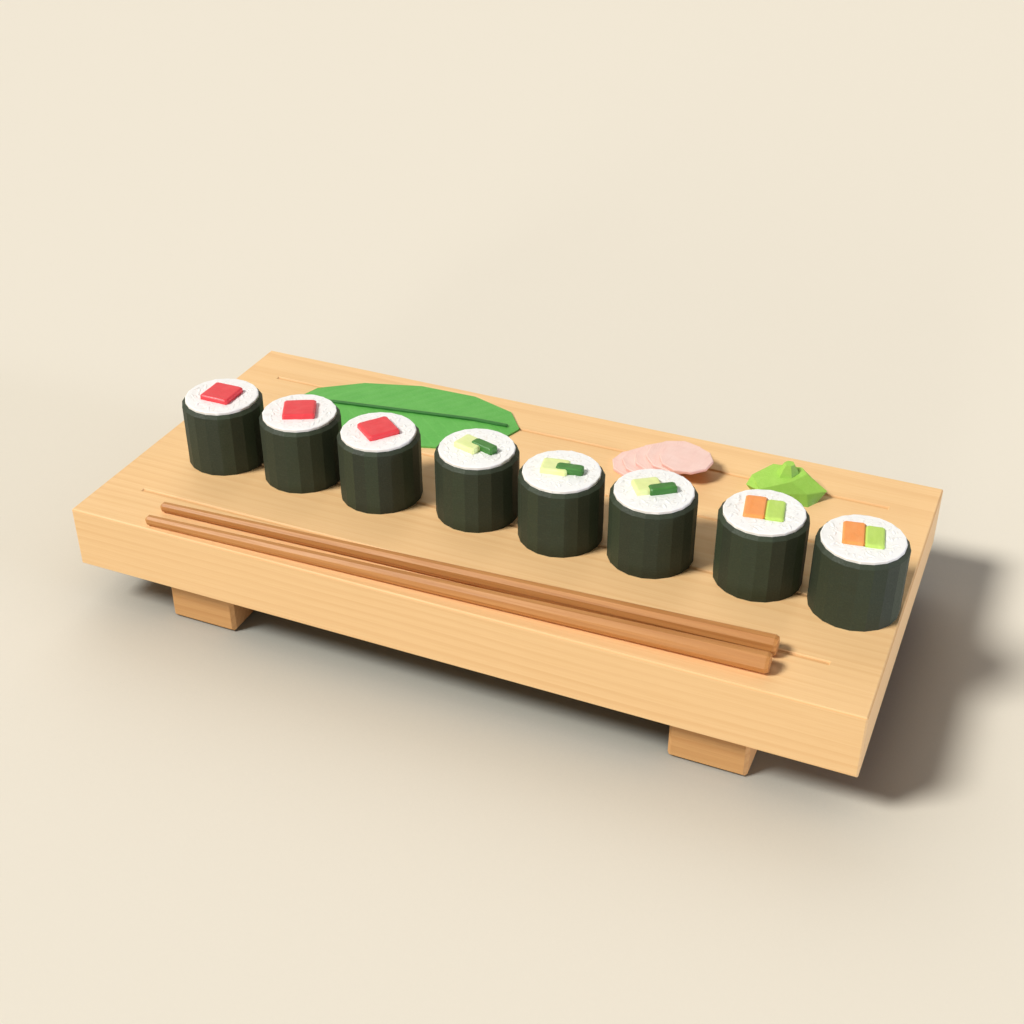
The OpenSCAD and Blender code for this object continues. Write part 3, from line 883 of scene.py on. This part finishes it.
def filling_strip(k, name, finish, size, turn):
    """A strip of filling: a rectangle with cut corners carried up its wall, over its edge and inwards.

    Its top is a little uneven, by ripples that fade out down the wall.
    """
    base, top = node_heights(f"{name}_{k}")
    wall = np.linspace(base, top - STRIP_BEVEL, STRIP_WALL_ROWS)
    inset = np.concatenate([np.zeros(STRIP_WALL_ROWS), STRIP_EDGE_INSETS])
    level = np.concatenate([wall, top - np.array(STRIP_EDGE_DROPS)])
    figures = [cut_rectangle(size[0] - 2 * d, size[1] - 2 * d, STRIP_BEVEL) for d in inset]
    outline = np.stack([along_sides(figure, STRIP_SHARES) for figure in figures])
    inwards = np.linspace(1, 0, STRIP_TOP_ROWS)[1:, None, None]
    rings = np.concatenate([
        raised(np.zeros_like(outline[:1]), base),
        raised(outline, level[:, None]),
        raised(outline[-1:] * inwards, top)])
    seed = STRIP_SEED + STRIP_SEED_STEP * k + len(name)
    lift = np.clip((rings[..., 2] - top) / STRIP_FADE + 1, 0, 1)
    rings[..., 2] += lift * (ripple(rings, *STRIP_RIPPLE, seed) - STRIP_SETTLE)
    local = rings - [0, 0, base]
    place = local[..., [1, 0, 2]] if size[1] > size[0] else local
    middle = [*strip_middle(k, name, finish, size), 0.0]
    part = solid_of(turned(rings, turn) + middle, place + STRIP_PATTERN_STEP * k)
    piece(f"{name}_strip_{k}", [part], FINISHES[finish], f"roll_{k}", f"{name}_{k}", sharp=32)


# Leaf


def leaf_half_width(x):
    """Half the leaf's width at a distance x from its middle, straight between the outline's corners."""
    angle = np.linspace(np.pi / 2, 0, LEAF_CORNERS // 4 + 1)
    return np.interp(np.abs(x), LEAF_SIZE[0] / 2 * np.cos(angle), LEAF_SIZE[1] / 2 * np.sin(angle))


def leaf_ridge(x):
    """Height of the fold above the rim: level along the middle, and falling to the rim at both tips."""
    beyond = (np.abs(x) / (LEAF_SIZE[0] / 2) - FOLD_SHARE) / (1 - FOLD_SHARE)
    return LEAF_RISE * (1 - np.clip(beyond, 0, 1))


def on_leaf(points):
    """Points in the leaf's own axes, put where the leaf lies."""
    base = node_heights("leaf_blade")[0]
    return turned(points, LEAF_TURN) + [*node_middle("leaf_blade"), base]


def leaf_face():
    """The blade: distance along its length by share of its half width, over its upper face and back below.

    The faces rise straight from the rim to the fold. Side veins leave the fold at a slant, and the
    blade swells between them by a squared sine.
    """
    corners = np.cos(np.radians(np.arange(0, 181, 360 // LEAF_CORNERS)))[::-1]
    sides = zip(corners, corners[1:], LEAF_STEPS)
    shares = np.concatenate([np.linspace(a, b, n, endpoint=False) for a, b, n in sides] + [[1.0]])
    x = LEAF_SIZE[0] / 2 * shares[:, None]
    across = np.linspace(-1, 1, LEAF_COLUMNS)[None, :]
    y = across * leaf_half_width(x)
    roof = leaf_ridge(x) * (1 - np.abs(across))
    vein_at = (x - np.abs(y) * VEIN_SLANT) / VEIN_PITCH
    from_vein = np.abs(vein_at - np.round(vein_at))
    inside = np.clip((1 - np.abs(across)) / LEAF_RIM_SHARE, 0, 1)
    broad = np.clip(leaf_half_width(x) / SWELL_HALF_WIDTH, 0, 1)
    swell = VEIN_SWELL * inside * (np.sin(np.pi * from_vein) ** 2 * broad - 1)
    vein = np.exp(-(from_vein / VEIN_WIDTH) ** 2) * inside
    upper = np.stack([x + 0 * y, y, LEAF_THICK + roof + swell], axis=-1)
    lower = np.stack([x + 0 * y, y, roof], axis=-1)[:, ::-1]
    rings = np.concatenate([upper, lower], axis=1)
    tones = np.concatenate([vein, vein[:, ::-1]], axis=1)
    part = solid_of(on_leaf(rings), rings, tones)
    piece("leaf_face", [part], FINISHES["leaf"], "leaf", "leaf_blade", sharp=35)


def leaf_rib():
    """The midrib: a bar along the fold, blunt at both ends, whose upper half is a squared-off round.

    That round is cosine and sine, each to a power below 1, over two lower corners.
    """
    half = LEAF_SIZE[0] / 2 * RIB_SHARE
    end, end_size = np.array(RIB_END_SHARES), np.array(RIB_END_SIZES)
    even = np.linspace(-RIB_EVEN_SHARE, RIB_EVEN_SHARE, RIB_ROWS)
    x = half * np.concatenate([-end, even, end[::-1]])[:, None]
    size = np.concatenate([end_size, np.ones(RIB_ROWS), end_size[::-1]])[:, None]
    turn = np.linspace(0, np.pi, RIB_ARC_POINTS)
    round_off = np.sign(np.cos(turn)) * np.abs(np.cos(turn)) ** RIB_SQUARENESS
    across = np.concatenate([round_off, [-1.0, 1.0]])
    above = np.concatenate([np.sin(turn) ** RIB_SQUARENESS, [-1.0, -1.0]])
    width, height = RIB_SIZE
    y = width / 2 * size * across
    z = LEAF_THICK + leaf_ridge(x) + height * np.where(above > 0, size * above, above)
    rings = np.stack([x + 0 * y, y, z], axis=-1)
    part = solid_of(on_leaf(rings), rings)
    piece("leaf_rib", [part], FINISHES["leaf_rib"], "leaf", "leaf_midrib", sharp=50)


# Ginger


def ginger_petal(k):
    """A slice of ginger: a figure of ten sides carried out, up a rounded rim and in to its middle.

    Slow waves and finer crinkles bend its upper face.
    """
    node = f"ginger_slice_{k}"
    base, top = node_heights(node)
    thick = top - base
    reach = node_reach(node)
    below, above = GINGER_ROWS
    rim_levels = np.append(GINGER_RIM_FOOT, thick - np.array(GINGER_RIM_DROPS))
    radius = np.concatenate([
        np.linspace(0, reach - GINGER_EDGE, below),
        reach - np.array(GINGER_RIM_INSETS),
        np.linspace(reach - GINGER_EDGE, 0, above)])
    level = np.concatenate([np.zeros(below), rim_levels, np.full(above, thick)])
    figure = along_sides(corner_ring(GINGER_FLATS, GINGER_TURNS[k - 1]), GINGER_SHARES)
    rings = raised(radius[:, None, None] * figure, level[:, None])
    wave = ripple(rings[..., :2], *GINGER_WAVE, GINGER_SEED + k)
    crinkle = ripple(rings[..., :2], *GINGER_CRINKLE, GINGER_SEED - k)
    rings[..., 2] += (level > thick / 2)[:, None] * (wave + crinkle - GINGER_SETTLE)
    rim = np.clip((radius / reach - GINGER_RIM_SHARE) / (1 - GINGER_RIM_SHARE), 0, 1) ** GINGER_RIM_POWER
    tones = np.where(level < thick - GINGER_TONE_DROP, *GINGER_TONES) * rim
    places = turned(rings, GINGER_PATTERN_TURN * k) + GINGER_PATTERN_STEP * k
    part = solid_of(rings + [*node_middle(node), base], places, tones[:, None])
    piece(f"ginger_petal_{k}", [part], FINISHES["ginger"], "ginger", node, sharp=24)


# Wasabi


def lump_corners():
    """Corners of the lump's foot, waist and top: a level plus a rise along X and Y, as shares of its size."""
    shares = np.array(WASABI_CORNERS)
    level = np.array(WASABI_LEVELS)[:, None] + (shares * np.array(WASABI_RISES)[:, None]).sum(axis=-1)
    return np.concatenate([shares, level[..., None]], axis=-1) * WASABI_SIZE


def peak_corners():
    """Corners of the peak: a cone of six flats with a flat top, closed at its foot and top by a point."""
    width, height = PEAK_SIZE
    figure = corner_ring(PEAK_FLATS, 0) * width / 2
    at = np.array(PEAK_PLACE) * WASABI_SIZE[:2]
    foot, tip = WASABI_SIZE[2] - PEAK_SINK, WASABI_SIZE[2] + height
    rows = ((0, foot), (1, foot), (PEAK_TOP_SHARE, tip), (0, tip))
    return np.stack([raised(figure * share + at, level) for share, level in rows])


def between_rings(corners, shares, rows):
    """Rings along the sides of each ring of corners, with more rings laid straight between them."""
    sides = np.stack([along_sides(ring, shares) for ring in corners])
    steps = [np.linspace(0, 1, n, endpoint=False)[:, None, None] for n in rows]
    between = [a * (1 - t) + b * t for a, b, t in zip(sides, sides[1:], steps)]
    return np.concatenate(between + [sides[-1:]])


def facet_shades(walls, rows):
    """Painted shade tones of every ring: 0, the darkest, underneath, each wall's own facet by facet, and 1,
    unshaded, on top.
    """
    walls = np.atleast_2d(walls)
    facets = np.concatenate([0 * walls[:1], walls, 0 * walls[:1] + 1])
    return np.repeat(side_tones(facets, len(FACET_SHARES)), [*rows[:-1], rows[-1] + 1], axis=0)


def wasabi_mound():
    """The lump and its peak: rings of corners joined by straight walls, roughened by fine ripples.

    A ripple moves a point away from the heart of the lump. The foot stays flat on the board.
    """
    shift = [*WASABI_MIDDLE, node_heights("wasabi")[0]]
    corners = lump_corners()
    crown = corners[-1].mean(axis=0)
    heart = crown * [1, 1, WASABI_HEART_SHARE]
    lump = np.concatenate([0 * corners[:1], corners, 0 * corners[:1] + crown])
    parts = []
    for figures, rows, walls in ((lump, WASABI_ROWS, WASABI_FACET_SHADES), (peak_corners(), PEAK_ROWS, PEAK_FACET_SHADES)):
        rings = between_rings(figures, FACET_SHARES, rows)
        rough = sum(ripple(rings, *size, WASABI_SEED + n) for n, size in enumerate(WASABI_RIPPLES))
        out = rings - heart
        out = out / np.maximum(np.linalg.norm(out, axis=-1), WASABI_HEART_REACH)[..., None]
        lifted = (rough - WASABI_SETTLE) * (rings[..., 2] > WASABI_CALM)
        parts.append(solid_of(rings + lifted[..., None] * out + shift, rings, facet_shades(walls, rows)))
    piece("wasabi_mound", parts, FINISHES["wasabi"], "wasabi", "wasabi", sharp=9)


# Wood that keeps its CAD shape


def dress(node, material):
    """Gives a CAD node that is already right a finer material."""
    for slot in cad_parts[node].material_slots:
        slot.material = material


# Floor, lamps and camera


def background_rays(tree):
    """1 for rays of the camera, gloss and glass, which see the pale background, and 0 for all others."""
    path = add(tree, "ShaderNodeLightPath").outputs
    seen = reckon(tree, "MAXIMUM", path["Is Camera Ray"], path["Is Glossy Ray"])
    return reckon(tree, "MAXIMUM", seen, path["Is Transmission Ray"])


def make_floor():
    """A wide pale floor with painted shade close to the board; it throws less light back than the camera
    sees.
    """
    half = FLOOR_HALF * MM
    corners = [(-half, -half, 0), (half, -half, 0), (half, half, 0), (-half, half, 0)]
    mesh = bpy.data.meshes.new("floor")
    mesh.from_pydata(corners, [], [(0, 1, 2, 3)])
    material, tree, shader = new_finish("floor", specular=0.0)
    reach = {"Distance": FLOOR_SHADE_REACH * MM}
    # Painted shade: the floor darkens towards a grey blue where ambient occlusion finds the set close by.
    open_share = add(tree, "ShaderNodeAmbientOcclusion", reach, samples=16).outputs["AO"]
    light = ranged(tree, open_share, UNIT, (1 - FLOOR_SHADE, 1.0))
    shaded = mixed(tree, light, paint(FLOOR_PAINTED_SHADE_COLOUR), paint(FLOOR_COLOUR))
    colour = mixed(tree, background_rays(tree), paint(FLOOR_BOUNCE), shaded)
    tree.links.new(colour, shader["Base Color"])
    shader["Roughness"].default_value = FLOOR_ROUGHNESS
    mesh.materials.append(material)
    floor = bpy.data.objects.new("floor", mesh)
    bpy.context.scene.collection.objects.link(floor)


def direction(azimuth, elevation):
    """The way towards a point seen at an azimuth, from the front round to the right, and an elevation."""
    a, e = math.radians(azimuth), math.radians(elevation)
    return Vector((math.sin(a) * math.cos(e), -math.cos(a) * math.cos(e), math.sin(e)))


def make_sun(name, azimuth, elevation, strength, width, colour, gloss=True):
    """A far lamp of an apparent width in degrees; a strength of pi lights a surface that faces it at level 1.

    A lamp without gloss leaves no highlight.
    """
    data = bpy.data.lights.new(name, "SUN")
    data.energy = strength
    data.angle = math.radians(width)
    data.color = paint(colour)[:3]
    lamp = bpy.data.objects.new(name, data)
    towards = direction(azimuth, elevation)
    lamp.rotation_mode = "QUATERNION"
    lamp.rotation_quaternion = (-towards).to_track_quat("-Z", "Y")
    lamp.location = towards * LAMP_DISTANCE * MM
    lamp.visible_glossy = gloss
    bpy.context.scene.collection.objects.link(lamp)


def make_world():
    """A plain sky: the camera and gloss see the pale background, and all else a soft grey light."""
    world = bpy.data.worlds.new("studio")
    bpy.context.scene.world = world
    world.use_nodes = True
    tree = world.node_tree
    seen = background_rays(tree)
    background = tree.nodes["Background"].inputs
    tree.links.new(mixed(tree, seen, paint(SKY_COLOUR), paint(BACKDROP_COLOUR)), background["Color"])
    tree.links.new(ranged(tree, seen, UNIT, (SKY_LEVEL, 1.0)), background["Strength"])


def make_camera():
    """A camera on the photograph's line of sight, with no turn about it."""
    data = bpy.data.cameras.new("camera")
    data.lens = CAMERA_LENS
    data.sensor_width = CAMERA_SENSOR
    camera = bpy.data.objects.new("camera", data)
    back = direction(CAMERA_AZIMUTH, CAMERA_ELEVATION)
    camera.location = Vector(CAMERA_AIM) * MM + back * CAMERA_DISTANCE * MM
    camera.rotation_mode = "QUATERNION"
    camera.rotation_quaternion = (-back).to_track_quat("-Z", "Y")
    bpy.context.scene.collection.objects.link(camera)
    bpy.context.scene.camera = camera


# The studio

bpy.context.scene.view_settings.view_transform = "Standard"
make_camera()
make_floor()
make_world()
make_sun("key", azimuth=-47.0, elevation=47.0, strength=3.25, width=16.0, colour="fffdf8")
make_sun("front_fill", azimuth=2.0, elevation=6.0, strength=0.91, width=12.0, colour="ffffff")
make_sun("right_fill", azimuth=90.0, elevation=4.0, strength=2.22, width=10.0, colour="dfe8ff")
make_sun(
    "back_fill", azimuth=-150.0, elevation=38.0, strength=0.8, width=50.0, colour="ffffff", gloss=False)

# The set

dress("board", BOARD_WOOD)
for node in ("foot_left", "foot_right", "foot_dowels"):
    dress(node, FOOT_WOOD)
for node in ("chopstick_front", "chopstick_back"):
    dress(node, CHOPSTICK_WOOD)
for roll in range(1, ROLL_COUNT + 1):
    nori_sheet(roll)
    rice_bed(roll)
    for row in filling_rows(roll):
        filling_strip(roll, *row)
leaf_face()
leaf_rib()
for petal in range(1, GINGER_COUNT + 1):
    ginger_petal(petal)
wasabi_mound()
